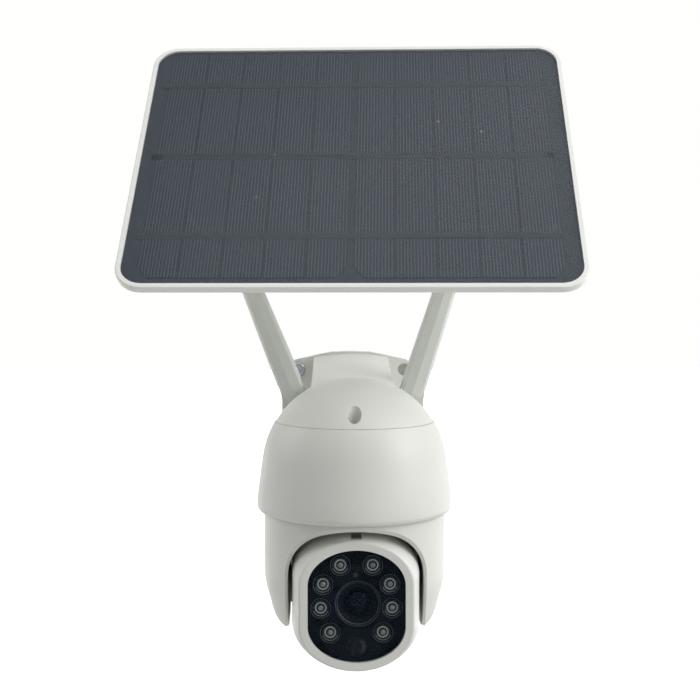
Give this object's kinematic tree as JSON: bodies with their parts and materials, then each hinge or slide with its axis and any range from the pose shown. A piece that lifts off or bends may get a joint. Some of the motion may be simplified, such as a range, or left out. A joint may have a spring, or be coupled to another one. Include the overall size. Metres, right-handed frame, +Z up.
{
  "type": "solar security camera",
  "caption": "Pan and tilt security camera hung from a wall arm, with hinged aerials and a tilting solar panel on a swivel above it",
  "frame": {"origin": "centre of the back face of the wall plate, on the wall", "axes": "+Z up, the camera looks along -Y, the wall is at +Y, +X to the right when facing the camera"},
  "size_m": [0.24, 0.1495, 0.3359],
  "materials": {
    "shell_white": "fine satin moulding",
    "antenna_grey": "fine matt moulding",
    "panel_white": "satin moulding",
    "trim_white": "satin",
    "support_steel": "white powder coat",
    "dark_plastic": "matt",
    "knob_plastic": "textured",
    "window_black": "polished, tinted",
    "soft_rubber": "matt",
    "button_grey": "satin",
    "plated_steel": "zinc plated",
    "dark_screw": "darkened",
    "motor_steel": "plain",
    "gear_nylon": "natural",
    "cell_wrap": "shrink wrap",
    "board_green": "lacquered board",
    "cell_board_black": "matt",
    "silicon": "dark slate, satin",
    "film_clear": "satin laminate",
    "ribbon_dark": "dark tinned",
    "optic_glass": "coated",
    "lamp_clear": "clear moulded",
    "pir_milky": "milky"
  },
  "bodies": {
    "wall_side": {"top_cover": "shell_white", "wall_arm": "shell_white", "panel_support": "support_steel", "bracket_screw": "dark_screw", "cover_screws": "plated_steel", "main_housing": "shell_white", "housing_seal": "soft_rubber", "chassis_plate": "dark_plastic", "chassis_screws": "plated_steel", "pan_bearing": "motor_steel", "pan_motor": "motor_steel", "battery_cells": "cell_wrap", "battery_tray": "dark_plastic", "main_board": "board_green", "charge_port": "motor_steel", "antenna_bases": "shell_white", "antenna_pins": "plated_steel"},
    "pan_part": {"pan_yoke": "shell_white", "arm_covers": "trim_white", "tilt_stubs": "trim_white", "pan_hub": "gear_nylon", "hub_nut": "plated_steel", "pan_gear": "gear_nylon", "tilt_gear": "gear_nylon"},
    "camera_head": {"head_front_shell": "shell_white", "head_rear_shell": "shell_white", "head_screws": "plated_steel", "front_window": "window_black", "window_mask": "dark_plastic", "window_gasket": "soft_rubber", "led_board": "board_green", "led_lamps": "lamp_clear", "lens_barrel": "dark_plastic", "lens_glass": "optic_glass", "light_sensor": "optic_glass", "pir_lens": "pir_milky", "mic_mesh": "motor_steel", "sensor_board": "board_green", "tilt_motor": "motor_steel", "speaker": "motor_steel"},
    "panel_swivel": {"panel_swivel": "support_steel", "swivel_bolt": "plated_steel", "tilt_bolt": "plated_steel"},
    "panel": {"panel_frame": "panel_white", "panel_film": "film_clear", "cell_board": "cell_board_black", "solar_cells": "silicon", "bus_ribbons": "ribbon_dark", "panel_back_cover": "panel_white", "panel_back_screws": "plated_steel", "panel_lug": "panel_white", "cable_gland": "dark_plastic"},
    "pan_pinion": {"pan_pinion": "gear_nylon"},
    "tilt_pinion": {"tilt_pinion": "gear_nylon"},
    "antenna_left": {"antenna_left": "antenna_grey"},
    "antenna_right": {"antenna_right": "antenna_grey"},
    "swivel_knob": {"swivel_knob": "knob_plastic"},
    "tilt_knob": {"tilt_knob": "knob_plastic"},
    "port_cover": {"port_cover": "soft_rubber"},
    "reset_button": {"reset_button": "button_grey"}
  },
  "joints": [
    {"name": "pan", "type": "hinge", "parent": "wall_side", "child": "pan_part", "pos_m": [0, -0.096, -0.04], "axis": [0, 0, 1], "range_deg": [-177.5, 177.5]},
    {"name": "pan_pinion_spin", "type": "hinge", "parent": "wall_side", "child": "pan_pinion", "pos_m": [0, -0.068, -0.0405], "axis": [0, 0, 1], "range_deg": [-655, 655]},
    {"name": "tilt", "type": "hinge", "parent": "pan_part", "child": "camera_head", "pos_m": [0, -0.096, -0.0845], "axis": [1, 0, 0], "range_deg": [-3, 90]},
    {"name": "tilt_pinion_spin", "type": "hinge", "parent": "camera_head", "child": "tilt_pinion", "pos_m": [-0.0243, -0.08398, -0.07248], "axis": [1, 0, 0], "range_deg": [-8, 217]},
    {"name": "antenna_left_swing", "type": "hinge", "parent": "wall_side", "child": "antenna_left", "pos_m": [-0.0331, -0.058, 0.014], "axis": [0, 1, 0], "range_deg": [-68, 20]},
    {"name": "antenna_right_swing", "type": "hinge", "parent": "wall_side", "child": "antenna_right", "pos_m": [0.0331, -0.058, 0.014], "axis": [0, 1, 0], "range_deg": [-16, 70]},
    {"name": "panel_yaw", "type": "hinge", "parent": "wall_side", "child": "panel_swivel", "pos_m": [0.0007, -0.0714, 0.107], "axis": [0, 0, 1], "range_deg": [-4, 10]},
    {"name": "panel_tilt", "type": "hinge", "parent": "panel_swivel", "child": "panel", "pos_m": [0.0007, -0.0714, 0.1307], "axis": [0.9984, -0.0569, 0], "range_deg": [-8, 30]},
    {"name": "swivel_knob_turn", "type": "hinge", "parent": "panel_swivel", "child": "swivel_knob", "pos_m": [0.0007, -0.0714, 0.1], "axis": [0, 0, 1], "range_deg": [0, 180]},
    {"name": "tilt_knob_turn", "type": "hinge", "parent": "panel_swivel", "child": "tilt_knob", "pos_m": [0.0007, -0.0714, 0.1307], "axis": [0.9984, -0.0569, 0], "range_deg": [0, 180]},
    {"name": "port_cover_flap", "type": "hinge", "parent": "wall_side", "child": "port_cover", "pos_m": [-0.0056, -0.0446, -0.0187], "axis": [1, 0, 0], "range_deg": [0, 110]},
    {"name": "reset_press", "type": "slide", "parent": "wall_side", "child": "reset_button", "axis": [0, -1, 0], "range_m": [0, 0.0008], "stiffness_N_per_m": 1500}
  ],
  "couplings": [
    {"joint": "pan_pinion_spin", "follows": "pan", "ratio": -3.6667},
    {"joint": "tilt_pinion_spin", "follows": "tilt", "ratio": 2.4}
  ]
}
